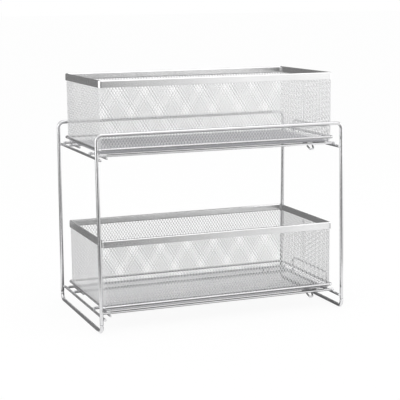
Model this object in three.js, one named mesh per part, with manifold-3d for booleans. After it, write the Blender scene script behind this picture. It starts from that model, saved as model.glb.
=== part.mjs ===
// A two-tier sliding basket organizer: a bent-wire frame on two foot runners carries two mesh
// baskets, one above the other, and each basket pulls out along its rails through the frame's end.
// Millimetres, +Z up. X runs along the slide, with the pull-out end at -X, and Y runs across it.
// The origin is on the floor, under the middle of the frame.
import * as THREE from "three";
import { mergeVertices } from "three/addons/utils/BufferGeometryUtils.js";
import Module from "manifold-3d";

// Wires: diameters, and how finely they are faceted.
const frameWire = 5.5;
const crossWire = 4;
const railWire = 4;
const stopWire = 3;
const backstopWire = 3;
const ringWire = 4;
const catchWire = 2.6;
const frameSides = 12;
const thinSides = 8;
const frameBendSteps = 5;
const catchBendSteps = 2;
const endChamfer = 0.6;

// Basket: outside of its mesh, and what is fixed to it.
const meshLength = 378;
const meshDepth = 188;
const meshThickness = 0.8;
const meshCornerRadius = 3;
const basketHeight = 109;
const rimHeight = 11;
const rimSkin = 0.7;
const rimGap = 0.9;
const ringHeight = 7;
const halfCornerSteps = 2;
const cornerSteps = 2 * halfCornerSteps;

// Mesh pattern: a coarse diamond net stands for the fine expanded metal.
const diamondLength = 54;
const diamondHeight = 26;
const strandWidth = 2.4;
const netMargin = 5;

// Frame.
const tierSpacing = 238.5;
const lowerCrossHeight = 22;
const topBarRise = 36.5;
const legSplay = 6.3;
const hoopBendRadius = 8.5;
const runnerBendRadius = 9;
const runnerUpturn = 2.5;
const basketEndGap = 3.9;
const basketSideGap = 6.4;
const crossOverhang = 3;
const railOverhang = 2.3;

// Rails and what stops the baskets on them.
const outerRailInset = 2;
const railPairSpacing = 36;
const stopOverhang = 6.5;
const stopInset = 13.5;
const backstopHalfWidth = 63;
const backstopRise = 21.5;
const backstopBendRadius = 6;
const catchInset = 32.5;
const catchFromRail = 7;
const catchHalfWidth = 4.7;
const catchDrop = 8.5;
const catchFoot = 8;
const catchBendRadius = 1.8;

// Welded and touching pieces keep this gap.
const seatGap = 0.3;

// Baskets and rails in plan.
const ringHalfLength = meshLength / 2 + seatGap + ringWire / 2;
const ringHalfDepth = meshDepth / 2 + seatGap + ringWire / 2;
const legHalfLength = ringHalfLength + ringWire / 2 + basketEndGap + frameWire / 2;
const hoopTopHalfDepth = ringHalfDepth + ringWire / 2 + basketSideGap + frameWire / 2;
const hoopBaseHalfDepth = hoopTopHalfDepth + legSplay;
const crossBarX = legHalfLength - frameWire / 2 - seatGap - crossWire / 2;
const outerRailY = meshDepth / 2 - outerRailInset;
const innerRailY = outerRailY - railPairSpacing;

// Heights.
const footHeight = frameWire / 2;
const topBarHeight = lowerCrossHeight + tierSpacing + topBarRise;
const legTilt = Math.atan2(legSplay, topBarHeight - footHeight);
const railAboveCross = crossWire / 2 + seatGap + railWire / 2;
const floorAboveRail = railWire / 2 + seatGap;
const stopBelowRail = railWire / 2 + seatGap + stopWire / 2;

const wasm = await Module();
wasm.setup();

// A geometry as a solid that can be joined and cut.
function solidFrom(geometry) {
  const bare = geometry.clone();
  bare.deleteAttribute("normal");
  bare.deleteAttribute("uv");
  const merged = mergeVertices(bare, 1e-4);
  return new wasm.Manifold(
    new wasm.Mesh({
      numProp: 3,
      vertProperties: merged.attributes.position.array,
      triVerts: new Uint32Array(merged.index.array),
    }),
  );
}

function geometryFrom(solid) {
  const mesh = solid.getMesh();
  const geometry = new THREE.BufferGeometry();
  geometry.setAttribute("position", new THREE.BufferAttribute(mesh.vertProperties, 3));
  geometry.setIndex(new THREE.BufferAttribute(mesh.triVerts, 1));
  geometry.computeVertexNormals();
  return geometry;
}

// A path that is read only at its own stations, so straight runs stay one step long.
class StationPath extends THREE.Curve {
  constructor(points, tangents) {
    super();
    this.points = points;
    this.tangents = tangents;
  }
  stationAt(u) {
    return Math.round(u * (this.points.length - 1));
  }
  getPointAt(u, target = new THREE.Vector3()) {
    return target.copy(this.points[this.stationAt(u)]);
  }
  getTangentAt(u, target = new THREE.Vector3()) {
    return target.copy(this.tangents[this.stationAt(u)]);
  }
}

// The stations of a polyline whose inner corners are rounded to one bend radius.
function roundedPath(corners, radius, bendSteps) {
  const first = corners[0];
  const last = corners[corners.length - 1];
  const points = [first.clone()];
  const tangents = [corners[1].clone().sub(first).normalize()];
  for (let i = 1; i < corners.length - 1; i++) {
    const corner = corners[i];
    const before = corner.clone().sub(corners[i - 1]).normalize();
    const after = corners[i + 1].clone().sub(corner).normalize();
    const turn = before.angleTo(after);
    const start = corner.clone().addScaledVector(before, -radius * Math.tan(turn / 2));
    const inward = after.clone().addScaledVector(before, -after.dot(before)).normalize();
    for (let step = 0; step <= bendSteps; step++) {
      const angle = (turn * step) / bendSteps;
      points.push(
        start
          .clone()
          .addScaledVector(before, radius * Math.sin(angle))
          .addScaledVector(inward, radius * (1 - Math.cos(angle))),
      );
      tangents.push(
        before.clone().multiplyScalar(Math.cos(angle)).addScaledVector(inward, Math.sin(angle)),
      );
    }
  }
  points.push(last.clone());
  tangents.push(last.clone().sub(corners[corners.length - 2]).normalize());
  return new StationPath(points, tangents);
}

// A round wire's section, faceted with flats that face the axes and lie on the wire's surface.
function wireSection(diameter, sides) {
  const reach = diameter / 2 / Math.cos(Math.PI / sides);
  const section = new THREE.Shape();
  const vertices = [];
  for (let side = 0; side < sides; side++) {
    const angle = ((side + 0.5) / sides) * 2 * Math.PI;
    vertices.push(new THREE.Vector2(reach * Math.cos(angle), reach * Math.sin(angle)));
  }
  return section.setFromPoints(vertices);
}

function bentWire(corners, radius, diameter, sides, bendSteps) {
  const path = roundedPath(corners, radius, bendSteps);
  return new THREE.ExtrudeGeometry(wireSection(diameter, sides), {
    steps: path.points.length - 1,
    extrudePath: path,
    bevelEnabled: false,
  });
}

// A straight wire along Y with chamfered ends, centred on the origin.
function straightWire(length, diameter) {
  const end = length / 2;
  const radius = diameter / 2;
  const profile = [
    new THREE.Vector2(0, -end),
    new THREE.Vector2(radius - endChamfer, -end),
    new THREE.Vector2(radius, -end + endChamfer),
    new THREE.Vector2(radius, end - endChamfer),
    new THREE.Vector2(radius - endChamfer, end),
    new THREE.Vector2(0, end),
  ];
  return new THREE.LatheGeometry(profile, thinSides);
}

function roundedRectangle(PathClass, halfLength, halfDepth, radius) {
  const outline = new PathClass();
  outline.moveTo(-halfLength + radius, -halfDepth);
  outline.lineTo(halfLength - radius, -halfDepth);
  outline.absarc(halfLength - radius, -halfDepth + radius, radius, -Math.PI / 2, 0);
  outline.lineTo(halfLength, halfDepth - radius);
  outline.absarc(halfLength - radius, halfDepth - radius, radius, 0, Math.PI / 2);
  outline.lineTo(-halfLength + radius, halfDepth);
  outline.absarc(-halfLength + radius, halfDepth - radius, radius, Math.PI / 2, Math.PI);
  outline.lineTo(-halfLength, -halfDepth + radius);
  outline.absarc(-halfLength + radius, -halfDepth + radius, radius, Math.PI, 1.5 * Math.PI);
  return outline;
}

function extrudeUp(shapes, height, arcSteps) {
  return new THREE.ExtrudeGeometry(shapes, {
    depth: height,
    bevelEnabled: false,
    curveSegments: arcSteps,
  });
}

// Prisms, as deep as asked about XY, that cut a staggered diamond net into a field centred on the
// given point. Diamonds on the field's edge are halved there, and its corners stay solid.
function netCutters(width, height, centreY, depth) {
  const columns = Math.max(1, Math.floor(width / diamondLength));
  const rows = Math.max(1, Math.floor(height / diamondHeight));
  const stepX = width / columns / 2;
  const stepY = height / rows / 2;
  const side = Math.hypot(stepX, stepY);
  const reachX = stepX - (strandWidth / 2) * (side / stepY);
  const reachY = stepY - (strandWidth / 2) * (side / stepX);
  const outlines = [];
  for (let row = -rows; row <= rows; row++) {
    for (let column = -columns; column <= columns; column++) {
      if ((row + column + rows + columns) % 2 !== 0) continue;
      const x = column * stepX;
      const y = centreY + row * stepY;
      const tips = [];
      if (column < columns) tips.push(new THREE.Vector2(x + reachX, y));
      if (row < rows) tips.push(new THREE.Vector2(x, y + reachY));
      if (column > -columns) tips.push(new THREE.Vector2(x - reachX, y));
      if (row > -rows) tips.push(new THREE.Vector2(x, y - reachY));
      if (tips.length > 2) outlines.push(new THREE.Shape(tips));
    }
  }
  const cutters = extrudeUp(outlines, depth, 1);
  cutters.translate(0, 0, -depth / 2);
  return cutters;
}

// Heights within a basket, from the underside of its floor.
const wallTop = basketHeight - rimSkin - seatGap;
const netBottom = ringHeight + ringWire / 2 + netMargin;
const netTop = basketHeight - rimHeight - netMargin;
const netCentre = (netBottom + netTop) / 2;
const netHeight = netTop - netBottom;

// A wall panel that faces -Y, at its distance from the basket's middle. It turns halfway round the
// corner at each end, where it meets the next panel.
function wallGeometry(length, distance) {
  const innerRadius = meshCornerRadius - meshThickness;
  const cornerX = length / 2 - meshCornerRadius;
  const ahead = -Math.PI / 2;
  const turn = Math.PI / 4 - seatGap / 2 / innerRadius;
  const plan = new THREE.Shape();
  plan.absarc(-cornerX, meshCornerRadius, meshCornerRadius, ahead - turn, ahead);
  plan.absarc(cornerX, meshCornerRadius, meshCornerRadius, ahead, ahead + turn);
  plan.absarc(cornerX, meshCornerRadius, innerRadius, ahead + turn, ahead, true);
  plan.absarc(-cornerX, meshCornerRadius, innerRadius, ahead, ahead - turn, true);
  const cutters = netCutters(2 * (cornerX - netMargin), netHeight, netCentre, 4 * meshThickness);
  cutters.rotateX(Math.PI / 2);
  const panel = solidFrom(extrudeUp(plan, wallTop, halfCornerSteps)).subtract(solidFrom(cutters));
  const geometry = geometryFrom(panel);
  geometry.translate(0, -distance, 0);
  return geometry;
}

function floorGeometry() {
  const inset = meshThickness + seatGap;
  const halfLength = meshLength / 2 - inset;
  const halfDepth = meshDepth / 2 - inset;
  const sheet = roundedRectangle(THREE.Shape, halfLength, halfDepth, meshCornerRadius - inset);
  const fieldDepth = 2 * (outerRailY - catchFromRail - catchWire);
  const cutters = netCutters(2 * (halfLength - netMargin), fieldDepth, 0, 4 * meshThickness);
  const solid = solidFrom(extrudeUp(sheet, meshThickness, cornerSteps));
  return geometryFrom(solid.subtract(solidFrom(cutters)));
}

// The rim is sheet folded over the mesh's top edge, so its section is an upside-down channel.
function rimGeometry() {
  const band = (outerGrowth, innerInset, height) => {
    const outer = roundedRectangle(
      THREE.Shape,
      meshLength / 2 + outerGrowth,
      meshDepth / 2 + outerGrowth,
      meshCornerRadius + outerGrowth,
    );
    const inset = meshThickness + innerInset;
    outer.holes = [
      roundedRectangle(
        THREE.Path,
        meshLength / 2 - inset,
        meshDepth / 2 - inset,
        meshCornerRadius - inset,
      ),
    ];
    return extrudeUp(outer, height, cornerSteps);
  };
  const skin = solidFrom(band(rimGap + rimSkin, rimGap + rimSkin, rimHeight));
  const grooveDepth = rimHeight - rimSkin;
  const groove = band(rimGap, rimGap, 2 * grooveDepth);
  groove.translate(0, 0, -grooveDepth);
  return geometryFrom(skin.subtract(solidFrom(groove)));
}

// The base ring is one wire bent round the walls, with its butt weld in the middle of the rear.
function ringGeometry() {
  const corner = (x, y) => new THREE.Vector3(x, y, 0);
  return bentWire(
    [
      corner(seatGap / 2, ringHalfDepth),
      corner(ringHalfLength, ringHalfDepth),
      corner(ringHalfLength, -ringHalfDepth),
      corner(-ringHalfLength, -ringHalfDepth),
      corner(-ringHalfLength, ringHalfDepth),
      corner(-seatGap / 2, ringHalfDepth),
    ],
    meshCornerRadius + seatGap + ringWire / 2,
    ringWire,
    thinSides,
    frameBendSteps,
  );
}

// A backstop is an upright loop on the right cross bar's far side, where a basket that is pushed in
// meets it. Its heights are from the cross bar's centre.
function backstopGeometry() {
  const foot = -crossWire / 2;
  const top = railAboveCross + backstopRise;
  const corner = (y, z) => new THREE.Vector3(0, y, z);
  return bentWire(
    [
      corner(-backstopHalfWidth, foot),
      corner(-backstopHalfWidth, top),
      corner(backstopHalfWidth, top),
      corner(backstopHalfWidth, foot),
    ],
    backstopBendRadius,
    backstopWire,
    thinSides,
    frameBendSteps,
  );
}

// A catch hangs from the floor between a pair of rails and hooks under the outer one. Its heights
// are from the rail's centre, and its feet lie along the underside of the floor.
function catchGeometry() {
  const footZ = floorAboveRail - seatGap - catchWire / 2;
  const kneeZ = footZ - (footZ + catchDrop) / 2;
  const hookHalfWidth = catchHalfWidth - catchBendRadius;
  const half = [
    [catchHalfWidth + catchFoot, catchFromRail, footZ],
    [catchHalfWidth, catchFromRail, footZ],
    [catchHalfWidth, catchFromRail, kneeZ],
    [hookHalfWidth, 0, -catchDrop],
  ];
  const left = half.map(([x, y, z]) => new THREE.Vector3(-x, y, z));
  const right = half.map(([x, y, z]) => new THREE.Vector3(x, y, z)).reverse();
  return bentWire([...left, ...right], catchBendRadius, catchWire, thinSides, catchBendSteps);
}

// A hoop's legs and top bar, flat in XZ, with its height measured along the legs from the feet.
function hoopGeometry() {
  const legTop = (topBarHeight - footHeight) / Math.cos(legTilt);
  const legFoot = runnerBendRadius + runnerUpturn + seatGap;
  const corner = (x, z) => new THREE.Vector3(x, 0, z);
  return bentWire(
    [
      corner(-legHalfLength, legFoot),
      corner(-legHalfLength, legTop),
      corner(legHalfLength, legTop),
      corner(legHalfLength, legFoot),
    ],
    hoopBendRadius,
    frameWire,
    frameSides,
    frameBendSteps,
  );
}

// A foot runner lies along Y and turns up at both ends to meet the legs.
function runnerGeometry() {
  const upturn = runnerBendRadius + runnerUpturn;
  const upY = hoopBaseHalfDepth - upturn * Math.sin(legTilt);
  const upZ = upturn * Math.cos(legTilt);
  return bentWire(
    [
      new THREE.Vector3(0, -upY, upZ),
      new THREE.Vector3(0, -hoopBaseHalfDepth, 0),
      new THREE.Vector3(0, hoopBaseHalfDepth, 0),
      new THREE.Vector3(0, upY, upZ),
    ],
    runnerBendRadius,
    frameWire,
    frameSides,
    frameBendSteps,
  );
}

// Finishes.
const finishes = {
  frame: { color: 0xc8cacd, roughness: 0.32, metalness: 0.9 },
  rail: { color: 0xc2c4c8, roughness: 0.35, metalness: 0.9 },
  rim: { color: 0xbfc1c5, roughness: 0.3, metalness: 0.9 },
  mesh: { color: 0xd3d5d9, roughness: 0.45, metalness: 0.8 },
};

const organizer = new THREE.Group();

function addPiece(parent, name, geometry, finish) {
  const mesh = new THREE.Mesh(geometry, new THREE.MeshStandardMaterial(finishes[finish]));
  mesh.name = name;
  parent.add(mesh);
  return mesh;
}

// Frame: two hoops lean in towards each other, and two runners join their legs at the floor.
const hoop = hoopGeometry();
for (const [name, side] of [["front_hoop", -1], ["rear_hoop", 1]]) {
  const piece = addPiece(organizer, name, hoop, "frame");
  piece.position.set(0, side * hoopBaseHalfDepth, footHeight);
  piece.rotation.x = side * legTilt;
}
const runner = runnerGeometry();
for (const [name, side] of [["left_foot_runner", -1], ["right_foot_runner", 1]]) {
  const piece = addPiece(organizer, name, runner, "frame");
  piece.position.set(side * legHalfLength, 0, footHeight);
}

const backstop = backstopGeometry();

// A tier of the frame: cross bars on the legs, rails on the cross bars, stops under the rails, and a
// backstop at the right end.
function addTier(tier, crossHeight) {
  const group = new THREE.Group();
  group.position.z = crossHeight;
  organizer.add(group);
  const legY = hoopBaseHalfDepth - (crossHeight - footHeight) * Math.tan(legTilt);
  const crossBar = straightWire(2 * (legY + crossOverhang), crossWire);
  for (const [name, side] of [["left_cross_bar", -1], ["right_cross_bar", 1]]) {
    const piece = addPiece(group, `${tier}_${name}`, crossBar, "rail");
    piece.position.x = side * crossBarX;
  }
  const rail = straightWire(2 * (crossBarX + railOverhang), railWire);
  const railRows = [
    ["front_rail", -outerRailY],
    ["front_inner_rail", -innerRailY],
    ["rear_inner_rail", innerRailY],
    ["rear_rail", outerRailY],
  ];
  for (const [name, y] of railRows) {
    const piece = addPiece(group, `${tier}_${name}`, rail, "rail");
    piece.position.set(0, y, railAboveCross);
    piece.rotation.z = Math.PI / 2;
  }
  const stop = straightWire(railPairSpacing + 2 * stopOverhang, stopWire);
  for (const [name, side] of [["front_stop", -1], ["rear_stop", 1]]) {
    const piece = addPiece(group, `${tier}_${name}`, stop, "rail");
    const middleY = (side * (outerRailY + innerRailY)) / 2;
    piece.position.set(-crossBarX + stopInset, middleY, railAboveCross - stopBelowRail);
  }
  const backstopX = crossBarX + crossWire / 2 + seatGap + backstopWire / 2;
  addPiece(group, `${tier}_backstop`, backstop, "rail").position.x = backstopX;
}

const longWall = wallGeometry(meshLength, meshDepth / 2);
const shortWall = wallGeometry(meshDepth, meshLength / 2);
const floor = floorGeometry();
const rim = rimGeometry();
const ring = ringGeometry();
const railCatch = catchGeometry();

// A basket, placed by the underside of its floor.
function addBasket(tier, floorHeight) {
  const group = new THREE.Group();
  group.position.z = floorHeight;
  organizer.add(group);
  const name = (piece) => `${tier}_basket_${piece}`;
  addPiece(group, name("floor_mesh"), floor, "mesh");
  addPiece(group, name("front_mesh"), longWall, "mesh");
  addPiece(group, name("rear_mesh"), longWall, "mesh").rotation.z = Math.PI;
  addPiece(group, name("left_mesh"), shortWall, "mesh").rotation.z = -Math.PI / 2;
  addPiece(group, name("right_mesh"), shortWall, "mesh").rotation.z = Math.PI / 2;
  addPiece(group, name("rim"), rim, "rim").position.z = basketHeight - rimHeight;
  addPiece(group, name("base_ring"), ring, "rail").position.z = ringHeight;
  const catchX = meshLength / 2 - catchInset;
  for (const [end, side] of [["front_catch", -1], ["rear_catch", 1]]) {
    const piece = addPiece(group, name(end), railCatch, "rail");
    piece.position.set(catchX, side * outerRailY, -floorAboveRail);
    piece.rotation.z = side > 0 ? Math.PI : 0;
  }
}

for (const [tier, crossHeight] of [
  ["lower", lowerCrossHeight],
  ["upper", lowerCrossHeight + tierSpacing],
]) {
  addTier(tier, crossHeight);
  addBasket(tier, crossHeight + railAboveCross + floorAboveRail);
}

export default organizer;
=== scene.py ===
import math
from collections import namedtuple

import bmesh
import bpy
from bpy.props import FloatProperty, FloatVectorProperty, IntProperty, PointerProperty
from bpy.types import Operator, Panel, PropertyGroup
from mathutils import Matrix, Vector


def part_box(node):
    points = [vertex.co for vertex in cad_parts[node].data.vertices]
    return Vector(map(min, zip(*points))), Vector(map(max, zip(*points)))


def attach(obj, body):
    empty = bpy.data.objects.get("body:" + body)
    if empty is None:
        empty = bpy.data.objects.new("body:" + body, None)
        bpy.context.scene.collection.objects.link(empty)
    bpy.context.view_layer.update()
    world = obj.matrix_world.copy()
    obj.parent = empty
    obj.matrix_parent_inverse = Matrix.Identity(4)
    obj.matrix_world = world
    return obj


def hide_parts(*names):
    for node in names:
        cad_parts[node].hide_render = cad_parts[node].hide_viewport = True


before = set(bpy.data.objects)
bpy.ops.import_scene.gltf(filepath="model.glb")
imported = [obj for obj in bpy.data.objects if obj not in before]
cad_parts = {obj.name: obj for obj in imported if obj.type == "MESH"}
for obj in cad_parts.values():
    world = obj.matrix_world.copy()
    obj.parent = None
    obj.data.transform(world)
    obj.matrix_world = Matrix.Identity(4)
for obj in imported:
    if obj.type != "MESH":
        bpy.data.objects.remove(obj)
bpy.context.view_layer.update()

bl_info = {
    "name": "Sliding basket organizer",
    "version": (1, 0, 0),
    "blender": (4, 5, 0),
    "location": "View3D > Sidebar > Organizer",
    "description": "Wire frame and expanded-metal baskets of a two-tier pull-out organizer",
    "category": "Object",
}

TIERS = ("lower", "upper")
SIDES = (-1, 1)
MM = 0.001


# Reading the frame

def extent(node):
    low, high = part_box(node)
    return high - low


def middle(node):
    low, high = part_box(node)
    return (low + high) / 2


# Sizes and colours that a user would change

def length(label, text, default):
    return FloatProperty(name=label, description=text, default=default, min=0.0, precision=5, unit="LENGTH")


def share(label, text, default):
    return FloatProperty(name=label, description=text, default=default, min=0.0, max=1.0, subtype="FACTOR")


def amount(label, text, default):
    return FloatProperty(name=label, description=text, default=default, min=0.0)


def power(label, text, default):
    return FloatProperty(name=label, description=text, default=default, min=0.0, unit="POWER")


def count(label, text, default):
    return IntProperty(name=label, description=text, default=default, min=1)


def tone(label, text, default):
    return FloatVectorProperty(
        name=label, description=text, default=default, size=3, min=0.0, max=1.0, subtype="COLOR"
    )


class WireSizes(PropertyGroup):
    """Round wires of the frame and the baskets."""

    sides: count("Sides", "Faces round a wire", 28)
    bend_steps: count("Bend steps", "Steps round a bend", 12)
    frame_wire: length("Frame wire", "Diameter of hoops and runners", extent("left_foot_runner").x)
    rail_wire: length("Rail wire", "Diameter of the rails", extent("lower_front_rail").z)
    cross_wire: length("Cross wire", "Diameter of the cross bars", extent("lower_left_cross_bar").z)
    stop_wire: length("Stop wire", "Diameter of the stops", extent("lower_front_stop").z)
    backstop_wire: length("Backstop wire", "Diameter of the backstops", extent("lower_backstop").x)
    ring_wire: length("Ring wire", "Diameter of the base rings", extent("lower_basket_base_ring").z)
    catch_wire: length("Catch wire", "Diameter of the catches", 2.6 * MM)
    hoop_bend: length("Hoop bend", "Centre-line radius of a hoop's corners", 8.5 * MM)
    runner_bend: length("Runner bend", "Centre-line radius of a runner's corners", 9.0 * MM)
    backstop_bend: length("Backstop bend", "Centre-line radius of a backstop's corners", 6.0 * MM)
    ring_bend: length("Ring bend", "Centre-line radius of a base ring's corners", 5.3 * MM)
    catch_bend: length("Catch bend", "Centre-line radius of a catch's bends", 1.8 * MM)
    catch_half_width: length("Catch half width", "Half the width across a catch's legs", 4.7 * MM)
    end_rounding: share("End rounding", "Rounding of a cut end, as a share of the radius", 0.7)
    weld_reach: length("Weld reach", "How far a weld spreads from its middle", 1.7 * MM)


class NetSizes(PropertyGroup):
    """Expanded metal of the baskets."""

    cell_width: length("Cell width", "Short way of a diamond", 4.88 * MM)
    cell_height: length("Cell height", "Long way of a diamond", 7.46 * MM)
    strand: length("Strand", "Width of a strand of the walls", 0.9 * MM)
    floor_strand: length("Floor strand", "Width of a strand of the floors", 0.8 * MM)
    strand_flat: share("Strand flat", "Flat part of a strand's width", 0.5)
    sheet: length("Sheet", "Thickness of the net", 0.45 * MM)
    wall_twist: length("Wall twist", "How far a wall strand's edges turn out of the sheet", 0.01 * MM)
    floor_twist: length("Floor twist", "The same for the floors, which lean the other way", 0.3 * MM)
    corner: length("Corner", "Outer radius of the walls' corners", 3.0 * MM)
    tray_bend: length("Tray bend", "Radius of the floor's turned-up edge", 3.2 * MM)
    tray_rise: length("Tray rise", "Straight part of the floor's turned-up edge", 1.8 * MM)
    layer_gap: length("Layer gap", "Gap between two layers of net", 0.4 * MM)
    lap: length("Lap", "Overlap where a wall strip's ends meet", 5.0 * MM)


class RimSizes(PropertyGroup):
    """Folded band along a basket's top edge."""

    thickness: length("Thickness", "Across the whole fold", 4.0 * MM)
    skin: length("Skin", "Thickness of the folded sheet", 0.7 * MM)
    fold: length("Fold", "Outer radius of the fold's edges", 1.95 * MM)
    inner_rise: length("Inner rise", "How much higher the fold ends inside than outside", 1.5 * MM)
    lip: length("Lip", "Rounding of the band's lower edges", 0.3 * MM)
    joint: length("Joint", "Gap where the band's ends meet", 0.25 * MM)


class Finishes(PropertyGroup):
    """Colours and polish of the finishes."""

    wire: tone("Wire", "Satin plating of the frame's wires", (0.80, 0.80, 0.81))
    rail: tone("Rail", "Bright plating of rails and rings", (0.82, 0.82, 0.83))
    band: tone("Band", "Brushed sheet of the rims", (0.97, 0.97, 0.975))
    net: tone("Net", "Silver coat of the walls", (0.98, 0.98, 0.99))
    # Painted shade: the floors share the walls' coat; this darker copy of it stands for the shade they lie
    # in.
    shaded_floor_net: tone("Floor net", "Coat of the floors, which look darker", (0.64, 0.64, 0.67))
    weld: tone("Weld", "Dull metal of the welds", (0.62, 0.62, 0.63))
    wire_roughness: share("Wire roughness", "Roughness of the wires", 0.2)
    band_roughness: share("Band roughness", "Roughness of the rims", 0.24)
    net_roughness: share("Net roughness", "Roughness of the net", 0.42)
    weld_roughness: share("Weld roughness", "Roughness of the welds", 0.42)


class StageSettings(PropertyGroup):
    """Camera, floor and light."""

    camera_place: FloatVectorProperty(
        name="Camera place",
        description="Where the camera stands",
        default=(-0.68573, -1.78456, 0.49660),
        size=3,
        unit="LENGTH",
    )
    camera_yaw: FloatProperty(
        name="Yaw", description="Turn from +Y towards +X", default=math.radians(21.085), subtype="ANGLE"
    )
    camera_pitch: FloatProperty(
        name="Pitch", description="Tilt below the horizon", default=math.radians(9.643), subtype="ANGLE"
    )
    camera_roll: FloatProperty(
        name="Roll", description="Turn about the view", default=math.radians(-0.5955), subtype="ANGLE"
    )
    camera_lens: FloatProperty(
        name="Lens", description="Focal length on a 36 mm sensor", default=108.39, unit="CAMERA"
    )
    floor_tone: tone("Floor", "Colour of the floor", (0.92, 0.92, 0.92))
    shadow: share("Shadow", "How much of the object's shadow the white floor keeps", 0.1)
    surround: amount("Surround", "Strength of the room's light on dull surfaces", 0.95)
    top_light: power("Top light", "Power of the lamp overhead", 6.4)
    side_light: power("Side light", "Power of each of the lamps on both sides", 1.8)
    front_card: share("Front card", "Grey of the cards that front faces mirror", 0.16)
    rear_card: share("Rear card", "Grey of the cards that left and inner faces mirror", 0.2)
    shade_card: share("Shade card", "Grey of the shade that undersides and rear wires mirror", 0.12)
    side_card: share("Side card", "Grey of the floor that end faces mirror", 0.4)
    ring_card: share("Ring card", "Grey of the shade that the rings mirror in front", 0.25)


# Sweeping a section along straight runs and bends

EDGE_STEPS = 4
BEAD_SEGMENTS = 14
BEAD_RINGS = 9


def edges_among(verts):
    inside = set(verts)
    edges = []
    for vert in verts:
        for edge in vert.link_edges:
            if edge.other_vert(vert) in inside and edge not in edges:
                edges.append(edge)
    return edges


def verts_of(items):
    return [item for item in items if isinstance(item, bmesh.types.BMVert)]


def verts_along(edges):
    verts = []
    for edge in edges:
        verts.extend(vert for vert in edge.verts if vert not in verts)
    return verts


def push(bm, loop, step):
    """Extrude an open loop along a straight run, and return the new loop."""
    verts = verts_of(bmesh.ops.extrude_edge_only(bm, edges=loop)["geom"])
    bmesh.ops.translate(bm, verts=verts, vec=step)
    return edges_among(verts)


def sweep(bm, loop, corners, bend, steps):
    """Carry a loop from the first corner to the last, round a bend at each one between."""
    here = corners[0]
    for before, corner, after in zip(corners, corners[1:], corners[2:]):
        arriving = (corner - before).normalized()
        leaving = (after - corner).normalized()
        angle = arriving.angle(leaving)
        setback = bend * math.tan(angle / 2)
        bend_start = corner - arriving * setback
        loop = push(bm, loop, bend_start - here)
        axis = arriving.cross(leaving).normalized()
        spun = bmesh.ops.spin(
            bm,
            geom=loop + verts_along(loop),
            cent=bend_start + axis.cross(arriving) * bend,
            axis=axis,
            dvec=(0, 0, 0),
            angle=angle,
            steps=steps,
        )
        loop = edges_among(verts_of(spun["geom_last"]))
        here = corner + leaving * setback
    return push(bm, loop, corners[-1] - here)


def round_end(bm, loop, rounding):
    bmesh.ops.edgeloop_fill(bm, edges=loop)
    bmesh.ops.bevel(
        bm, geom=loop, offset=rounding, segments=EDGE_STEPS, profile=0.5, affect="EDGES", material=-1
    )


def bent_wire(corners, bend, diameter, sizes):
    bm = bmesh.new()
    heading = (corners[1] - corners[0]).normalized()
    place = Matrix.Translation(corners[0]) @ heading.to_track_quat("Z", "Y").to_matrix().to_4x4()
    ring = bmesh.ops.create_circle(bm, segments=sizes.sides, radius=diameter / 2, matrix=place)
    first = edges_among(ring["verts"])
    last = sweep(bm, first, corners, bend, sizes.bend_steps)
    for loop in (first, last):
        round_end(bm, loop, sizes.end_rounding * diameter / 2)
    bmesh.ops.recalc_face_normals(bm, faces=bm.faces)
    return bm


def straight_wire(node, axis, diameter, sizes):
    """A wire that runs the length of a node's box along one axis."""
    low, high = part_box(node)
    start, end = middle(node), middle(node)
    start[axis] = low[axis]
    end[axis] = high[axis]
    return bent_wire([start, end], 0.0, diameter, sizes)


def add_bead(bm, centre, reach):
    """A weld, as a rounded lump with a reach along each axis."""
    place = Matrix.Translation(centre) @ Matrix.Diagonal((*reach, 1.0))
    bmesh.ops.create_uvsphere(
        bm, u_segments=BEAD_SEGMENTS, v_segments=BEAD_RINGS, radius=1.0, matrix=place
    )


# Finishing a piece

SHARP_ANGLE = math.radians(50)


def add_piece(bm, name, body, material, nodes=()):
    """Make an object of a mesh, which rides on a body and stands for the nodes."""
    for edge in bm.edges:
        edge.smooth = edge.is_manifold and edge.calc_face_angle() < SHARP_ANGLE
    for face in bm.faces:
        face.smooth = True
    mesh = bpy.data.meshes.new(name)
    bm.to_mesh(mesh)
    bm.free()
    mesh.materials.append(material)
    piece = bpy.data.objects.new(name, mesh)
    bpy.context.scene.collection.objects.link(piece)
    even_normals = piece.modifiers.new("even_normals", "WEIGHTED_NORMAL")
    even_normals.keep_sharp = True
    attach(piece, body)
    if nodes:
        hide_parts(*nodes)


# Finishes

GRAIN_STRENGTH = 0.35
SMOOTHEST, ROUGHEST = 0.85, 1.15
DARKEST, LIGHTEST = 0.93, 1.05


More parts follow.
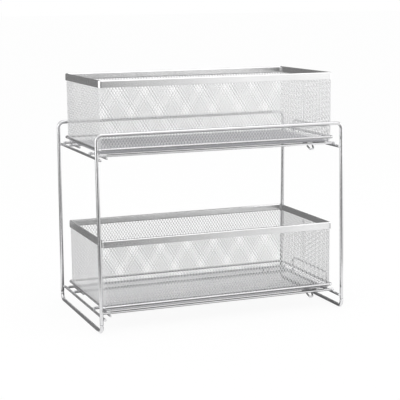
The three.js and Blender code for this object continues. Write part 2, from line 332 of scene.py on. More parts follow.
def metal(name, colour, roughness, grain, grain_depth, patch):
    """Metal with a fine grain in its surface and polish and slow patches in its tone.

    Grain and patch are counts to the metre. The polish lies between the smoothest and the roughest
    share of the roughness, and the tone between the darkest and the lightest share of the colour.
    """
    if name in bpy.data.materials:
        return bpy.data.materials[name]
    material = bpy.data.materials.new(name)
    material.use_nodes = True
    nodes = material.node_tree.nodes
    link = material.node_tree.links.new
    shader = nodes["Principled BSDF"]
    shader.inputs["Metallic"].default_value = 1.0
    place = nodes.new("ShaderNodeTexCoord").outputs["Object"]

    stretch = nodes.new("ShaderNodeMapping")
    stretch.inputs["Scale"].default_value = grain
    link(place, stretch.inputs["Vector"])
    fine = nodes.new("ShaderNodeTexNoise")
    fine.inputs["Scale"].default_value = 1.0
    fine.inputs["Detail"].default_value = 3.0
    link(stretch.outputs["Vector"], fine.inputs["Vector"])
    bump = nodes.new("ShaderNodeBump")
    bump.inputs["Strength"].default_value = GRAIN_STRENGTH
    bump.inputs["Distance"].default_value = grain_depth
    link(fine.outputs["Fac"], bump.inputs["Height"])
    link(bump.outputs["Normal"], shader.inputs["Normal"])

    slow = nodes.new("ShaderNodeTexNoise")
    slow.inputs["Scale"].default_value = patch
    slow.inputs["Detail"].default_value = 4.0
    link(place, slow.inputs["Vector"])
    tones = nodes.new("ShaderNodeValToRGB")
    tones.color_ramp.elements[0].position = 0.3
    tones.color_ramp.elements[0].color = (*(DARKEST * part for part in colour), 1.0)
    tones.color_ramp.elements[1].position = 0.7
    tones.color_ramp.elements[1].color = (*(min(1.0, LIGHTEST * part) for part in colour), 1.0)
    link(slow.outputs["Fac"], tones.inputs["Fac"])
    link(tones.outputs["Color"], shader.inputs["Base Color"])
    polish = nodes.new("ShaderNodeMapRange")
    polish.inputs["From Min"].default_value = 0.25
    polish.inputs["From Max"].default_value = 0.75
    polish.inputs["To Min"].default_value = SMOOTHEST * roughness
    polish.inputs["To Max"].default_value = ROUGHEST * roughness
    link(fine.outputs["Fac"], polish.inputs["Value"])
    link(polish.outputs["Result"], shader.inputs["Roughness"])
    return material


WIRE_GRAIN = {"grain": (1500, 1500, 1500), "grain_depth": 0.02 * MM}
BAND_GRAIN = {"grain": (9, 9, 2600), "grain_depth": 0.015 * MM}
NET_GRAIN = {"grain": (2200, 2200, 2200), "grain_depth": 0.03 * MM}
WELD_GRAIN = {"grain": (900, 900, 900), "grain_depth": 0.06 * MM}


def satin_wire(finishes):
    return metal("satin_wire", finishes.wire, finishes.wire_roughness, **WIRE_GRAIN, patch=30)


def bright_wire(finishes):
    return metal("bright_wire", finishes.rail, finishes.wire_roughness, **WIRE_GRAIN, patch=45)


def brushed_band(finishes):
    return metal("brushed_band", finishes.band, finishes.band_roughness, **BAND_GRAIN, patch=12)


def silver_net(finishes):
    return metal("silver_net", finishes.net, finishes.net_roughness, **NET_GRAIN, patch=20)


# Painted shade: the net's coat in the floors' darker colour, for the shade on the floors.
def shaded_floor_net(finishes):
    return metal("shaded_floor_net", finishes.shaded_floor_net, finishes.net_roughness, **NET_GRAIN, patch=20)


def dull_weld(finishes):
    return metal("dull_weld", finishes.weld, finishes.weld_roughness, **WELD_GRAIN, patch=160)


# Frame

def leg_line(side):
    """Centre of a hoop's leg at its foot and of its top bar, on the front (-1) or the rear (1)."""
    low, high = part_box("front_hoop" if side < 0 else "rear_hoop")
    radius = bpy.context.scene.organizer_wires.frame_wire / 2
    outer_y = low.y if side < 0 else high.y
    inner_y = high.y if side < 0 else low.y
    x = high.x - radius
    return Vector((x, outer_y - side * radius, low.z)), Vector((x, inner_y + side * radius, high.z - radius))


def mirrored(point, x_side):
    return Vector((x_side * point.x, point.y, point.z))


class ORGANIZER_OT_hoops(Operator):
    """Front and rear hoops: two legs and a top bar in one bent wire"""

    bl_idname = "organizer.hoops"
    bl_label = "Hoops"

    def execute(self, context):
        wires = context.scene.organizer_wires
        for side, node in zip(SIDES, ("front_hoop", "rear_hoop")):
            foot, top = leg_line(side)
            corners = [mirrored(foot, -1), mirrored(top, -1), top, foot]
            bm = bent_wire(corners, wires.hoop_bend, wires.frame_wire, wires)
            material = satin_wire(context.scene.organizer_finishes)
            add_piece(bm, f"{node}_wire", "frame", material, [node])
        return {"FINISHED"}


class ORGANIZER_OT_runners(Operator):
    """Foot runners, turned up at both ends to meet the legs"""

    bl_idname = "organizer.runners"
    bl_label = "Foot runners"

    def execute(self, context):
        wires = context.scene.organizer_wires
        radius = wires.frame_wire / 2
        for x_side, node in zip(SIDES, ("left_foot_runner", "right_foot_runner")):
            ends, bases = [], []
            for side in SIDES:
                foot, top = leg_line(side)
                lean = (top - foot) / (top - foot).z
                ends.append(mirrored(foot + lean * (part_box(node)[1].z - foot.z), x_side))
                bases.append(mirrored(foot + lean * (radius - foot.z), x_side))
            corners = [ends[0], bases[0], bases[1], ends[1]]
            bm = bent_wire(corners, wires.runner_bend, wires.frame_wire, wires)
            material = satin_wire(context.scene.organizer_finishes)
            add_piece(bm, f"{node}_wire", "frame", material, [node])
        return {"FINISHED"}


CROSS_BARS = [f"{tier}_{side}_cross_bar" for tier in TIERS for side in ("left", "right")]
RAILS = [
    f"{tier}_{place}rail"
    for tier in TIERS
    for place in ("front_", "front_inner_", "rear_inner_", "rear_")
]
STOPS = [f"{tier}_{side}_stop" for tier in TIERS for side in ("front", "rear")]
BACKSTOPS = [f"{tier}_backstop" for tier in TIERS]


def add_straight_wires(context, nodes, axis, diameter):
    wires = context.scene.organizer_wires
    material = bright_wire(context.scene.organizer_finishes)
    for node in nodes:
        bm = straight_wire(node, axis, diameter, wires)
        add_piece(bm, f"{node}_wire", "frame", material, [node])


class ORGANIZER_OT_cross_bars(Operator):
    """Cross bars that join the legs and carry the rails"""

    bl_idname = "organizer.cross_bars"
    bl_label = "Cross bars"

    def execute(self, context):
        add_straight_wires(context, CROSS_BARS, 1, context.scene.organizer_wires.cross_wire)
        return {"FINISHED"}


class ORGANIZER_OT_rails(Operator):
    """Rails that the baskets slide on"""

    bl_idname = "organizer.rails"
    bl_label = "Rails"

    def execute(self, context):
        add_straight_wires(context, RAILS, 0, context.scene.organizer_wires.rail_wire)
        return {"FINISHED"}


class ORGANIZER_OT_stops(Operator):
    """Short wires under the rails that stop a pulled-out basket"""

    bl_idname = "organizer.stops"
    bl_label = "Stops"

    def execute(self, context):
        add_straight_wires(context, STOPS, 1, context.scene.organizer_wires.stop_wire)
        return {"FINISHED"}


class ORGANIZER_OT_backstops(Operator):
    """Upright loops at the right end that stop a basket that is pushed in"""

    bl_idname = "organizer.backstops"
    bl_label = "Backstops"

    def execute(self, context):
        wires = context.scene.organizer_wires
        radius = wires.backstop_wire / 2
        material = bright_wire(context.scene.organizer_finishes)
        for node in BACKSTOPS:
            low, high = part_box(node)
            x = middle(node).x
            front, rear, top = low.y + radius, high.y - radius, high.z - radius
            outline = ((front, low.z), (front, top), (rear, top), (rear, low.z))
            corners = [Vector((x, y, z)) for y, z in outline]
            bm = bent_wire(corners, wires.backstop_bend, wires.backstop_wire, wires)
            add_piece(bm, f"{node}_wire", "frame", material, [node])
        return {"FINISHED"}


# Shares of a weld's reach, and of the wire's diameter for a collar round two butted ends
SEAM_DEPTH = 0.5
STOP_WELD = 0.8
COLLAR_HEIGHT = 0.6
COLLAR_RADIUS = 0.515


class ORGANIZER_OT_frame_welds(Operator):
    """Welds that join the frame's wires"""

    bl_idname = "organizer.frame_welds"
    bl_label = "Frame welds"

    def execute(self, context):
        wires = context.scene.organizer_wires
        reach = wires.weld_reach
        bm = bmesh.new()
        for tier in TIERS:
            rails = [node for node in RAILS if node.startswith(tier)]
            bars = [node for node in CROSS_BARS if node.startswith(tier)]
            stops = [node for node in STOPS if node.startswith(tier)]
            for bar in bars:
                self.weld_rails(bm, rails, bar, reach)
                self.weld_legs(bm, bar, reach, wires.frame_wire)
            for stop in stops:
                low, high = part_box(stop)
                above = [rail for rail in rails if low.y < middle(rail).y < high.y]
                self.weld_rails(bm, above, stop, STOP_WELD * reach)
            self.weld_backstop(bm, f"{tier}_backstop", f"{tier}_right_cross_bar", reach)
        collar = COLLAR_RADIUS * wires.frame_wire
        for side in SIDES:
            foot = leg_line(side)[0]
            for x_side in SIDES:
                add_bead(bm, mirrored(foot, x_side), (collar, collar, COLLAR_HEIGHT * reach))
        material = dull_weld(context.scene.organizer_finishes)
        add_piece(bm, "frame_welds", "frame", material)
        return {"FINISHED"}

    @staticmethod
    def weld_rails(bm, rails, bar, reach):
        """One weld where each rail crosses the bar below it."""
        for rail in rails:
            seam = (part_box(rail)[0].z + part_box(bar)[1].z) / 2
            add_bead(bm, (middle(bar).x, middle(rail).y, seam), (reach, reach, SEAM_DEPTH * reach))

    @staticmethod
    def weld_backstop(bm, backstop, bar, reach):
        """One weld where each leg of the backstop lies against the bar."""
        low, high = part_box(backstop)
        radius = extent(backstop).x / 2
        seam = (low.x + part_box(bar)[1].x) / 2
        for y in (low.y + radius, high.y - radius):
            add_bead(bm, (seam, y, middle(bar).z), (SEAM_DEPTH * reach, reach, reach))

    @staticmethod
    def weld_legs(bm, bar, reach, leg_wire):
        """One weld where each end of the bar lies against a leg."""
        centre = middle(bar)
        x_side = math.copysign(1, centre.x)
        for side in SIDES:
            foot, top = leg_line(side)
            leg = foot + (top - foot) * ((centre.z - foot.z) / (top.z - foot.z))
            seam = x_side * (leg.x - leg_wire / 2)
            add_bead(bm, (seam, leg.y, centre.z), (SEAM_DEPTH * reach, reach, reach))


# Baskets

BasketWalls = namedtuple("BasketWalls", "half_length half_depth floor top")


def basket_walls(tier):
    """Half length and half depth of the outside of the walls, the floor's underside and the top."""
    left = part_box(f"{tier}_basket_left_mesh")[0].x
    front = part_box(f"{tier}_basket_front_mesh")[0].y
    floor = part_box(f"{tier}_basket_floor_mesh")[0].z
    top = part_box(f"{tier}_basket_rim")[1].z
    return BasketWalls(-left, -front, floor, top)


class ORGANIZER_OT_rims(Operator):
    """Sheet bands folded over the top edge of the nets, with their ends butted on the right side"""

    bl_idname = "organizer.rims"
    bl_label = "Rims"

    def execute(self, context):
        rim = context.scene.organizer_rims
        steps = context.scene.organizer_wires.bend_steps
        for tier in TIERS:
            node = f"{tier}_basket_rim"
            walls = basket_walls(tier)
            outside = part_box(node)[1].x - walls.half_length
            bm = bmesh.new()
            start = Vector((walls.half_length, rim.joint / 2, walls.top))
            end = Vector((walls.half_length, -rim.joint / 2, walls.top))
            section = self.section(bm, rim, outside, extent(node).z, start)
            corners = [start]
            for x, y in ((1, 1), (-1, 1), (-1, -1), (1, -1)):
                corners.append(Vector((x * walls.half_length, y * walls.half_depth, walls.top)))
            corners.append(end)
            last = sweep(bm, section, corners, context.scene.organizer_nets.corner, steps)
            bmesh.ops.edgeloop_fill(bm, edges=last)
            bmesh.ops.recalc_face_normals(bm, faces=bm.faces)
            material = brushed_band(context.scene.organizer_finishes)
            add_piece(bm, f"{node}_band", f"{tier}_basket", material, [node])
        return {"FINISHED"}

    @staticmethod
    def section(bm, rim, outside, height, start):
        """The fold's outline at the joint: an upside-down channel with eased edges."""
        inside = outside - rim.thickness
        inner_height = height - rim.inner_rise
        corners = (
            (outside, -height, rim.lip),
            (outside, 0.0, rim.fold),
            (inside, 0.0, rim.fold),
            (inside, -inner_height, rim.lip),
            (inside + rim.skin, -inner_height, rim.lip),
            (inside + rim.skin, -rim.skin, rim.lip),
            (outside - rim.skin, -rim.skin, rim.lip),
            (outside - rim.skin, -height, rim.lip),
        )
        verts = [bm.verts.new(start + Vector((x, 0.0, z))) for x, z, _ in corners]
        bm.faces.new(verts)
        for vert, (_, _, rounding) in zip(verts, corners):
            bmesh.ops.bevel(
                bm,
                geom=[vert],
                offset=rounding,
                segments=EDGE_STEPS,
                profile=0.5,
                affect="VERTICES",
                material=-1,
            )
        return bm.edges[:]


# Half the gap between a ring's butted ends, and the weld round them in shares of the wire's radius
RING_BUTT = 0.1 * MM
RING_WELD = (0.6, 1.08, 1.08)


class ORGANIZER_OT_base_rings(Operator):
    """Wire rings round the walls, just above the floor"""

    bl_idname = "organizer.base_rings"
    bl_label = "Base rings"

    def execute(self, context):
        wires = context.scene.organizer_wires
        radius = wires.ring_wire / 2
        for tier in TIERS:
            node = f"{tier}_basket_base_ring"
            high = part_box(node)[1]
            z = middle(node).z
            half_length, half_depth = high.x - radius, high.y - radius
            corners = [Vector((RING_BUTT, half_depth, z))]
            for x, y in ((1, 1), (1, -1), (-1, -1), (-1, 1)):
                corners.append(Vector((x * half_length, y * half_depth, z)))
            corners.append(Vector((-RING_BUTT, half_depth, z)))
            bm = bent_wire(corners, wires.ring_bend, wires.ring_wire, wires)
            add_bead(bm, (0.0, half_depth, z), [radius * part for part in RING_WELD])
            material = bright_wire(context.scene.organizer_finishes)
            add_piece(bm, f"{node}_wire", f"{tier}_basket", material, [node])
        return {"FINISHED"}


class ORGANIZER_OT_catches(Operator):
    """Wire loops under a basket that hook under the outer rails"""

    bl_idname = "organizer.catches"
    bl_label = "Catches"

    def execute(self, context):
        wires = context.scene.organizer_wires
        material = bright_wire(context.scene.organizer_finishes)
        for tier in TIERS:
            for side, end in zip(SIDES, ("front", "rear")):
                node = f"{tier}_basket_{end}_catch"
                bm = self.loop(node, side, wires)
                add_piece(bm, f"{node}_wire", f"{tier}_basket", material, [node])
        return {"FINISHED"}

    @staticmethod
    def loop(node, side, wires):
        """Feet along the floor, legs down past the rail, and a hook that reaches under it."""
        low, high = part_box(node)
        radius = wires.catch_wire / 2
        x = middle(node).x
        rail_y = (low.y if side < 0 else high.y) - side * radius
        foot_y = (high.y if side < 0 else low.y) + side * radius
        foot_z, hook_z = high.z - radius, low.z + radius
        knee_z = (foot_z + hook_z) / 2
        half = [
            (high.x - x, foot_y, foot_z),
            (wires.catch_half_width, foot_y, foot_z),
            (wires.catch_half_width, foot_y, knee_z),
            (wires.catch_half_width - wires.catch_bend, rail_y, hook_z),
        ]
        left = [Vector((x - reach, y, z)) for reach, y, z in half]
        right = [Vector((x + reach, y, z)) for reach, y, z in reversed(half)]
        bm = bent_wire(left + right, wires.catch_bend, wires.catch_wire, wires)
        weld_inset = 2 * radius
        weld_rise = 0.9 * radius
        for foot in (left[0], right[-1]):
            weld = foot + Vector((math.copysign(weld_inset, x - foot.x), 0.0, weld_rise))
            add_bead(bm, weld, (wires.weld_reach, radius, SEAM_DEPTH * radius))
        return bm


# Nets

def mark_lean(holes, lean, reach):
    """Note how far each hole's left and right corners stand out of the sheet."""
    for hole in holes:
        centre = hole.calc_center_median()
        half_width = max(vert.co.x for vert in hole.verts) - centre.x
        for vert in hole.verts:
            vert[lean] = reach * (vert.co.x - centre.x) / half_width


def diamond_net(columns, rows, width, height, nets, keep, strand, twist):
    """A flat, closed net about the origin in XY, of the diamonds whose centres are kept."""
    bm = bmesh.new()
    lean = bm.verts.layers.float.new("lean")
    cells = 2 * math.ceil((columns + rows) / 2)
    bmesh.ops.create_grid(bm, x_segments=cells, y_segments=cells, size=cells / 2)
    to_diamonds = Matrix(
        ((width / 2, width / 2, 0, 0), (-height / 2, height / 2, 0, 0), (0, 0, 1, 0), (0, 0, 0, 1))
    )
    bmesh.ops.transform(bm, matrix=to_diamonds, verts=bm.verts)
    outside = [face for face in bm.faces if not keep(face.calc_center_median())]
    bmesh.ops.delete(bm, geom=outside, context="FACES")
    half_sheet = nets.sheet / 2
    bmesh.ops.translate(bm, verts=bm.verts, vec=(0, 0, half_sheet))

    holes = bm.faces[:]
    flat = nets.strand_flat * strand / 2
    bmesh.ops.inset_individual(bm, faces=holes, thickness=flat, use_even_offset=True)
    mark_lean(holes, lean, nets.strand_flat * twist)
    slope = strand / 2 - flat
    bmesh.ops.inset_individual(bm, faces=holes, thickness=slope, depth=-half_sheet, use_even_offset=True)
    mark_lean(holes, lean, twist)
    bmesh.ops.delete(bm, geom=holes, context="FACES_ONLY")

    border = [edge for edge in bm.edges if edge.is_boundary and edge.verts[0].co.z > half_sheet / 2]
    skirt = verts_of(bmesh.ops.extrude_edge_only(bm, edges=border)["geom"])
    bmesh.ops.translate(bm, verts=skirt, vec=(0, 0, -half_sheet))
    bmesh.ops.mirror(
        bm, geom=bm.verts[:] + bm.edges[:] + bm.faces[:], merge_dist=half_sheet / 50, axis="Z"
    )
    for vert in bm.verts:
        vert.co.z += vert[lean]
    bmesh.ops.recalc_face_normals(bm, faces=bm.faces)
    return bm


def wall_heights(tier, nets):
    """Where the wall strips start, how many half rows they have, and the height of a diamond."""
    ring = middle(f"{tier}_basket_base_ring").z
    under_fold = 1.2 * nets.sheet
    span = basket_walls(tier).top - under_fold - ring
    half_rows = round(2 * span / nets.cell_height)
    return ring, half_rows, 2 * span / half_rows


def wall_net(half_side, distance, tier, nets):
    """A wall panel that faces -Y and turns halfway round the corner at each end."""
    start, half_rows, height = wall_heights(tier, nets)
    bend = nets.corner - nets.sheet / 2
    half_straight = half_side - nets.corner
    half_strip = half_straight + bend * math.pi / 4
    columns = 2 * round(half_strip / nets.cell_width)
    width = 2 * half_strip / columns
    lift = math.ceil(half_rows / 2) * height / 2
    span = half_rows * height / 2
    slack = width / 8

    def in_panel(centre):
        level = centre.y + lift
        in_rows = height / 2 - slack < level < span - height / 2 + slack
        return in_rows and -half_strip - slack < centre.x < half_strip - slack

    bm = diamond_net(columns + 2, half_rows, width, height, nets, in_panel, nets.strand, nets.wall_twist)
    for vert in bm.verts:
        along, up, out = vert.co
        past = max(abs(along) - half_straight, 0.0) / bend
        reach = bend + out
        x = min(abs(along), half_straight) + reach * math.sin(past)
        y = bend - distance + nets.sheet / 2 - reach * math.cos(past)
        vert.co = (math.copysign(x, along), y, start + lift + up)
    return bm


def tray_net(tier, nets):
    """The floor with its edges turned up inside the walls."""
    walls = basket_walls(tier)
    bend = nets.tray_bend - nets.sheet / 2
    inset = 1.5 * nets.sheet + nets.layer_gap + bend
    flat_x, flat_y = walls.half_length - inset, walls.half_depth - inset
    reach = bend * math.pi / 2 + nets.tray_rise
    columns = 2 * math.ceil((flat_x + reach) / nets.cell_width)
    rows = 2 * math.ceil((flat_y + reach) / nets.cell_height)
    level = walls.floor + nets.sheet / 2
    strand, twist = nets.floor_strand, -nets.floor_twist

    def past_flat(x, y):
        """How far a point lies beyond the flat part."""
        return math.hypot(max(abs(x) - flat_x, 0.0), max(abs(y) - flat_y, 0.0))

    def in_tray(centre):
        return past_flat(centre.x, centre.y) < reach

    bm = diamond_net(columns, 2 * rows, nets.cell_width, nets.cell_height, nets, in_tray, strand, twist)
    for vert in bm.verts:
        x, y, up = vert.co
        past = past_flat(x, y)
        turn = min(past / bend, math.pi / 2)
        rise = bend - (bend - up) * math.cos(turn) + max(past - bend * math.pi / 2, 0.0)
        if past > 0.0:
            draw = (bend - up) * math.sin(turn) / past
            beyond_x = max(abs(x) - flat_x, 0.0) * draw
            beyond_y = max(abs(y) - flat_y, 0.0) * draw
            x = math.copysign(min(abs(x), flat_x) + beyond_x, x)
            y = math.copysign(min(abs(y), flat_y) + beyond_y, y)
        vert.co = (x, y, level + rise)
    return bm


def lap_net(tier, nets):
    """The second layer where the wall strip's ends overlap, inside the middle of the right wall."""
    walls = basket_walls(tier)
    half_rows, height = wall_heights(tier, nets)[1:]
    width = nets.cell_width
    quarter = width / 4
    low = walls.floor + nets.tray_bend + nets.tray_rise + 2 * nets.sheet
    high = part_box(f"{tier}_basket_rim")[0].z
    mid_height = (low + high) / 2
    columns = round(nets.lap / width)
    slack = height / 8

    def in_lap(centre):
        level = centre.y + mid_height
        in_rows = low + height / 2 - slack < level < high - height / 2 + slack
        return in_rows and abs(centre.x) < columns * width / 2 - quarter

    bm = diamond_net(columns + 2, half_rows, width, height, nets, in_lap, nets.strand, nets.wall_twist)
    x_out = walls.half_length - 1.5 * nets.sheet - nets.layer_gap
    for vert in bm.verts:
        along, up, out = vert.co
        vert.co = (x_out + out, along + quarter, mid_height + up)
    return bm


class ORGANIZER_OT_walls(Operator):
    """Expanded-metal walls, one strip that wraps round each basket"""

    bl_idname = "organizer.walls"
    bl_label = "Walls"

    def execute(self, context):
        nets = context.scene.organizer_nets
        material = silver_net(context.scene.organizer_finishes)
        for tier in TIERS:
            walls = basket_walls(tier)
            panels = (
                ("front", walls.half_length, walls.half_depth, 0.0),
                ("right", walls.half_depth, walls.half_length, math.pi / 2),
                ("rear", walls.half_length, walls.half_depth, math.pi),
                ("left", walls.half_depth, walls.half_length, -math.pi / 2),
            )
            for side, half_side, distance, turn in panels:
                node = f"{tier}_basket_{side}_mesh"
                bm = wall_net(half_side, distance, tier, nets)
                bmesh.ops.rotate(bm, verts=bm.verts, matrix=Matrix.Rotation(turn, 3, "Z"))
                add_piece(bm, f"{tier}_basket_{side}_net", f"{tier}_basket", material, [node])
            bm = lap_net(tier, nets)
            add_piece(bm, f"{tier}_basket_lap_net", f"{tier}_basket", material)
        return {"FINISHED"}


class ORGANIZER_OT_floors(Operator):
    """Expanded-metal floors with rounded, turned-up edges"""

    bl_idname = "organizer.floors"
    bl_label = "Floors"

    def execute(self, context):
        nets = context.scene.organizer_nets
        material = shaded_floor_net(context.scene.organizer_finishes)
        for tier in TIERS:
            node = f"{tier}_basket_floor_mesh"
            bm = tray_net(tier, nets)
            add_piece(bm, f"{tier}_basket_floor_net", f"{tier}_basket", material, [node])
        return {"FINISHED"}


# Stage

def seen_as_white(tree):
    """One for camera, mirror and see-through rays, which meet the white background, and else zero."""
    path = tree.nodes.new("ShaderNodeLightPath")
    total = path.outputs["Is Camera Ray"]
    for ray in ("Is Glossy Ray", "Is Transmission Ray"):
        larger = tree.nodes.new("ShaderNodeMath")
        larger.operation = "MAXIMUM"
        tree.links.new(total, larger.inputs[0])
        tree.links.new(path.outputs[ray], larger.inputs[1])
        total = larger.outputs["Value"]
    return total


def white_floor(stage):
    material = bpy.data.materials.new("white_floor")
    material.use_nodes = True
    tree = material.node_tree
    tree.nodes.clear()
    output = tree.nodes.new("ShaderNodeOutputMaterial")
    paper = tree.nodes.new("ShaderNodeBsdfDiffuse")
    paper.inputs["Color"].default_value = (*stage.floor_tone, 1.0)
    glow = tree.nodes.new("ShaderNodeEmission")
    blend = tree.nodes.new("ShaderNodeMixShader")
    weight = tree.nodes.new("ShaderNodeMath")
    weight.operation = "MULTIPLY"
    weight.inputs[1].default_value = 1.0 - stage.shadow
    tree.links.new(seen_as_white(tree), weight.inputs[0])
    tree.links.new(weight.outputs["Value"], blend.inputs["Fac"])
    tree.links.new(paper.outputs["BSDF"], blend.inputs[1])
    tree.links.new(glow.outputs["Emission"], blend.inputs[2])
    tree.links.new(blend.outputs["Shader"], output.inputs["Surface"])
    return material


def white_surround(stage):
    world = bpy.data.worlds.new("white_surround")
    world.use_nodes = True
    tree = world.node_tree
    tree.nodes.clear()
    output = tree.nodes.new("ShaderNodeOutputWorld")
    lighting = tree.nodes.new("ShaderNodeBackground")
    lighting.inputs["Strength"].default_value = stage.surround
    backdrop = tree.nodes.new("ShaderNodeBackground")
    for background in (lighting, backdrop):
        background.inputs["Color"].default_value = (1.0, 1.0, 1.0, 1.0)
    blend = tree.nodes.new("ShaderNodeMixShader")
    tree.links.new(seen_as_white(tree), blend.inputs["Fac"])
    tree.links.new(lighting.outputs["Background"], blend.inputs[1])
    tree.links.new(backdrop.outputs["Background"], blend.inputs[2])
    tree.links.new(blend.outputs["Shader"], output.inputs["Surface"])
    return world


def fade_to_white(tree, glow, grey, fade_start, fade_end):
    """Let a glow rise from grey to white between two angles from -Y towards +X, seen from the origin."""
    place = tree.nodes.new("ShaderNodeTexCoord")
    parts = tree.nodes.new("ShaderNodeSeparateXYZ")
    tree.links.new(place.outputs["Object"], parts.inputs["Vector"])
    ahead = tree.nodes.new("ShaderNodeMath")
    ahead.operation = "MULTIPLY"
    ahead.inputs[1].default_value = -1.0
    tree.links.new(parts.outputs["Y"], ahead.inputs[0])
    angle = tree.nodes.new("ShaderNodeMath")
    angle.operation = "ARCTAN2"
    tree.links.new(parts.outputs["X"], angle.inputs[0])
    tree.links.new(ahead.outputs["Value"], angle.inputs[1])
    fade = tree.nodes.new("ShaderNodeMapRange")
    fade.inputs["From Min"].default_value = fade_start
    fade.inputs["From Max"].default_value = fade_end
    fade.inputs["To Min"].default_value = grey
    tree.links.new(angle.outputs["Value"], fade.inputs["Value"])
    tree.links.new(fade.outputs["Result"], glow.inputs["Strength"])


def card_material(name, grey, fade, one_sided):
    material = bpy.data.materials.new(name)
    material.use_nodes = True
    tree = material.node_tree
    tree.nodes.clear()
    glow = tree.nodes.new("ShaderNodeEmission")
    glow.inputs["Strength"].default_value = grey
    output = tree.nodes.new("ShaderNodeOutputMaterial")
    tree.links.new(glow.outputs["Emission"], output.inputs["Surface"])
    if fade:
        fade_to_white(tree, glow, grey, *fade)
    if one_sided:
        geometry = tree.nodes.new("ShaderNodeNewGeometry")
        clear = tree.nodes.new("ShaderNodeBsdfTransparent")
        sides = tree.nodes.new("ShaderNodeMixShader")
        tree.links.new(geometry.outputs["Backfacing"], sides.inputs["Fac"])
        tree.links.new(glow.outputs["Emission"], sides.inputs[1])
        tree.links.new(clear.outputs["BSDF"], sides.inputs[2])
        tree.links.new(sides.outputs["Shader"], output.inputs["Surface"])
    return material


# Turns of a sheet that is made facing up
UPRIGHT = Matrix.Rotation(math.pi / 2, 4, "X")
FACING = {
    "up": Matrix.Identity(4),
    "down": Matrix.Rotation(math.pi, 4, "X"),
    "front": UPRIGHT,
    "back": Matrix.Rotation(math.pi, 4, "Z") @ UPRIGHT,
    "right": Matrix.Rotation(math.pi / 2, 4, "Z") @ UPRIGHT,
}


def flat_sheet(name, facing, centre, size, material):
    bm = bmesh.new()
    bmesh.ops.create_grid(bm, x_segments=1, y_segments=1, size=0.5)
    bmesh.ops.scale(bm, verts=bm.verts, vec=(*size, 1.0))
    bmesh.ops.transform(bm, verts=bm.verts, matrix=Matrix.Translation(centre) @ FACING[facing])
    mesh = bpy.data.meshes.new(name)
    bm.to_mesh(mesh)
    bm.free()
    mesh.materials.append(material)
    sheet = bpy.data.objects.new(name, mesh)
    bpy.context.scene.collection.objects.link(sheet)
    return sheet


def add_card(name, facing, centre, size, grey, fade=None, one_sided=False):
    """A card that only mirrors see, and on its face alone where it is one-sided."""
    card = flat_sheet(name, facing, centre, size, card_material(name, grey, fade, one_sided))
    card.visible_camera = False
    card.visible_diffuse = False
    card.visible_transmission = False
    card.visible_shadow = False


def upright_card(name, x_range, y, z_range, grey, fade=None):
    left, right = x_range
    low, high = z_range
    centre = ((left + right) / 2, y, (low + high) / 2)
    add_card(name, "front", centre, (right - left, high - low), grey, fade)


def lying_card(name, x_range, y_range, grey, fade=None):
    """A card that lies just above the floor."""
    left, right = x_range
    near, far = y_range
    centre = ((left + right) / 2, (near + far) / 2, 1 * MM)
    add_card(name, "up", centre, (right - left, far - near), grey, fade)


def one_sided_card(name, facing, centre, size, grey):
    add_card(name, facing, centre, size, grey, one_sided=True)


# Cards of painted shade about the baskets: their sizes, and how far they are from the piece in their name
TRAY_CARD = (360 * MM, 190 * MM)
UNDER_TRAY = 0.2 * MM
FRONT_WALL_CARD = (340 * MM, 56 * MM)
BEHIND_FRONT_WALL = 34 * MM
ABOVE_TRAY = 32 * MM
RING_CARD = (380 * MM, 30 * MM)
BEFORE_RING = 0.2 * MM
UNDER_RING = 3.5 * MM
REAR_RING_CARD = (375 * MM, 6.4 * MM)
INSIDE_REAR_WALL = 0.4 * MM
REAR_BAR_CARD = (360 * MM, 24 * MM)
BEFORE_REAR_BAR = 5.5 * MM
UNDER_REAR_BAR = 3 * MM
RIGHT_WALL_CARD_DEPTH = 176 * MM
RIGHT_WALL_CARD_HEIGHT = {"lower": 104 * MM, "upper": 11.5 * MM}
INSIDE_RIGHT_WALL = 5 * MM
UNDER_RIM_TOP = 1 * MM


def basket_cards(tier, stage):
    """Painted shade: grey cards in and before a basket, which only mirrors see, for the shade that its
    floor, its rings, its rear and its inside mirror.
    """
    walls = basket_walls(tier)
    ring_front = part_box(f"{tier}_basket_base_ring")[0].y
    ring = middle(f"{tier}_basket_base_ring").z
    shade = stage.shade_card

    below_tray = (0.0, 0.0, walls.floor - UNDER_TRAY)
    one_sided_card(f"{tier}_tray_card", "down", below_tray, TRAY_CARD, shade)
    in_front = (0.0, BEHIND_FRONT_WALL - walls.half_depth, walls.floor + ABOVE_TRAY)
    one_sided_card(f"{tier}_front_wall_card", "back", in_front, FRONT_WALL_CARD, shade)
    before_ring = (0.0, ring_front - BEFORE_RING - RING_CARD[1] / 2, ring - UNDER_RING)
    one_sided_card(f"{tier}_ring_card", "up", before_ring, RING_CARD, stage.ring_card)
    in_rear = (0.0, walls.half_depth - INSIDE_REAR_WALL, ring)
    one_sided_card(f"{tier}_rear_ring_card", "back", in_rear, REAR_RING_CARD, shade)
    height = RIGHT_WALL_CARD_HEIGHT[tier]
    at_right = (walls.half_length - INSIDE_RIGHT_WALL, 0.0, walls.top - UNDER_RIM_TOP - height / 2)
    right_size = (RIGHT_WALL_CARD_DEPTH, height)
    one_sided_card(f"{tier}_right_wall_card", "right", at_right, right_size, stage.rear_card)


def rear_bar_card(stage):
    """Painted shade: a grey card before the rear hoop's top bar, so that the bar, which shows dark through
    the nets, mirrors shade.
    """
    low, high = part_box("rear_hoop")
    before_bar = (0.0, low.y - BEFORE_REAR_BAR, high.z - UNDER_REAR_BAR)
    one_sided_card("rear_bar_card", "back", before_bar, REAR_BAR_CARD, stage.shade_card)


def soft_lamp(name, place, aim, size, power):
    lamp = bpy.data.lights.new(name, "AREA")
    lamp.shape = "SQUARE"
    lamp.size = size
    lamp.energy = power
    holder = bpy.data.objects.new(name, lamp)
    holder.location = place
    holder.rotation_euler = (Vector(aim) - Vector(place)).to_track_quat("-Z", "Y").to_euler()
    bpy.context.scene.collection.objects.link(holder)


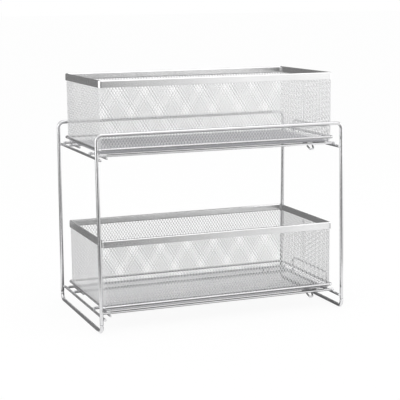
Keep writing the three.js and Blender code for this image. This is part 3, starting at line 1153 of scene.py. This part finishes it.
def camera_matrix(stage):
    yaw, pitch, roll = stage.camera_yaw, stage.camera_pitch, stage.camera_roll
    ahead = Vector(
        (math.sin(yaw) * math.cos(pitch), math.cos(yaw) * math.cos(pitch), -math.sin(pitch))
    )
    level = Vector((math.cos(yaw), -math.sin(yaw), 0.0))
    upright = level.cross(ahead)
    right = math.cos(roll) * level + math.sin(roll) * upright
    up = math.cos(roll) * upright - math.sin(roll) * level
    turn = Matrix((right, up, -ahead)).transposed().to_4x4()
    return Matrix.Translation(stage.camera_place) @ turn


SENSOR_WIDTH = 36.0
FLOOR_SIZE = (60.0, 60.0)
FLOOR_DROP = 0.2 * MM
LAMP_TARGET = (0.0, 0.0, 0.2)
TOP_LAMP_PLACE = (0.3, -0.4, 2.0)
TOP_LAMP_SIZE = 1.6
SIDE_LAMP_PLACE = Vector((1.2, -0.3, 0.5))
SIDE_LAMP_SIZE = 0.8


class ORGANIZER_OT_stage(Operator):
    """Camera, white floor, soft light and the dark cards that shiny metal mirrors, some of them painted
    shade and shadow
    """

    bl_idname = "organizer.stage"
    bl_label = "Stage"

    def execute(self, context):
        scene = context.scene
        stage = scene.organizer_stage
        scene.view_settings.view_transform = "Standard"
        scene.world = white_surround(stage)
        self.add_camera(scene, stage)
        flat_sheet("floor", "up", (0.0, 0.0, -FLOOR_DROP), FLOOR_SIZE, white_floor(stage))
        self.add_cards(stage)
        soft_lamp("top_lamp", TOP_LAMP_PLACE, LAMP_TARGET, TOP_LAMP_SIZE, stage.top_light)
        for side, name in zip(SIDES, ("left_lamp", "right_lamp")):
            place = mirrored(SIDE_LAMP_PLACE, side)
            soft_lamp(name, place, LAMP_TARGET, SIDE_LAMP_SIZE, stage.side_light)
        return {"FINISHED"}

    @staticmethod
    def add_camera(scene, stage):
        lens = bpy.data.cameras.new("camera")
        lens.lens = stage.camera_lens
        lens.sensor_width = SENSOR_WIDTH
        camera = bpy.data.objects.new("camera", lens)
        camera.matrix_world = camera_matrix(stage)
        scene.collection.objects.link(camera)
        scene.camera = camera

    @staticmethod
    def add_cards(stage):
        """Dark cards in front and behind, and below and inside as painted shade and shadow, which give
        bright metal its dark lines.
        """
        upright_fade = (math.radians(10), math.radians(21))
        lying_fade = (math.radians(-2), math.radians(42))
        front, rear, top = -2.3, 1.5, 2.2
        upright_card("front_card", (-2.2, 1.4), front, (0.0, 0.5), stage.front_card, upright_fade)
        lying_card("front_floor_card", (-1.3, 1.1), (front, -0.45), stage.front_card, lying_fade)

        far_left, turn, far_right = -1.45, 0.15, 3.4
        upright_card("rear_card", (far_left, turn), rear, (0.0, top), stage.rear_card)
        upright_card("high_rear_card", (turn, far_right), rear, (0.45, top), stage.rear_card)

        # Painted shadow: shade_card, rear_shade_card and left_shade_card lie under, behind and left of the
        # object for its shadow on the floor, which only mirrors see.
        behind, shade_edge = 0.3, -0.19
        lying_card("rear_floor_card", (far_left, 0.1), (behind, rear), stage.rear_card)
        lying_card("rear_shade_card", (0.1, 0.7), (behind, 0.9), stage.shade_card)
        lying_card("shade_card", (shade_edge, 0.25), (-0.11, behind), stage.shade_card)
        lying_card("left_shade_card", (-0.26, shade_edge), (-0.095, behind), stage.rear_card)

        near_end, far_end, beside = 0.5, 1.9, (-0.44, 0.29)
        lying_card("left_floor_card", (-far_end, -near_end), beside, stage.side_card)
        lying_card("right_floor_card", (near_end, far_end), beside, stage.side_card)

        for tier in TIERS:
            basket_cards(tier, stage)
        rear_bar_card(stage)


STEPS = (
    ORGANIZER_OT_hoops,
    ORGANIZER_OT_runners,
    ORGANIZER_OT_cross_bars,
    ORGANIZER_OT_rails,
    ORGANIZER_OT_stops,
    ORGANIZER_OT_backstops,
    ORGANIZER_OT_frame_welds,
    ORGANIZER_OT_rims,
    ORGANIZER_OT_base_rings,
    ORGANIZER_OT_catches,
    ORGANIZER_OT_walls,
    ORGANIZER_OT_floors,
    ORGANIZER_OT_stage,
)


class ORGANIZER_PT_build(Panel):
    """Steps that build the organizer's look"""

    bl_label = "Organizer"
    bl_idname = "ORGANIZER_PT_build"
    bl_space_type = "VIEW_3D"
    bl_region_type = "UI"
    bl_category = "Organizer"

    def draw(self, context):
        for step in STEPS:
            self.layout.operator(step.bl_idname)


GROUPS = {
    "organizer_wires": WireSizes,
    "organizer_nets": NetSizes,
    "organizer_rims": RimSizes,
    "organizer_finishes": Finishes,
    "organizer_stage": StageSettings,
}


def register():
    for group in (*GROUPS.values(), *STEPS, ORGANIZER_PT_build):
        bpy.utils.register_class(group)
    for name, group in GROUPS.items():
        setattr(bpy.types.Scene, name, PointerProperty(type=group))


def unregister():
    for name in GROUPS:
        delattr(bpy.types.Scene, name)
    for group in (ORGANIZER_PT_build, *reversed(STEPS), *GROUPS.values()):
        bpy.utils.unregister_class(group)


def main():
    register()
    for step in STEPS:
        family, action = step.bl_idname.split(".")
        getattr(getattr(bpy.ops, family), action)()


if __name__ == "__main__":
    main()
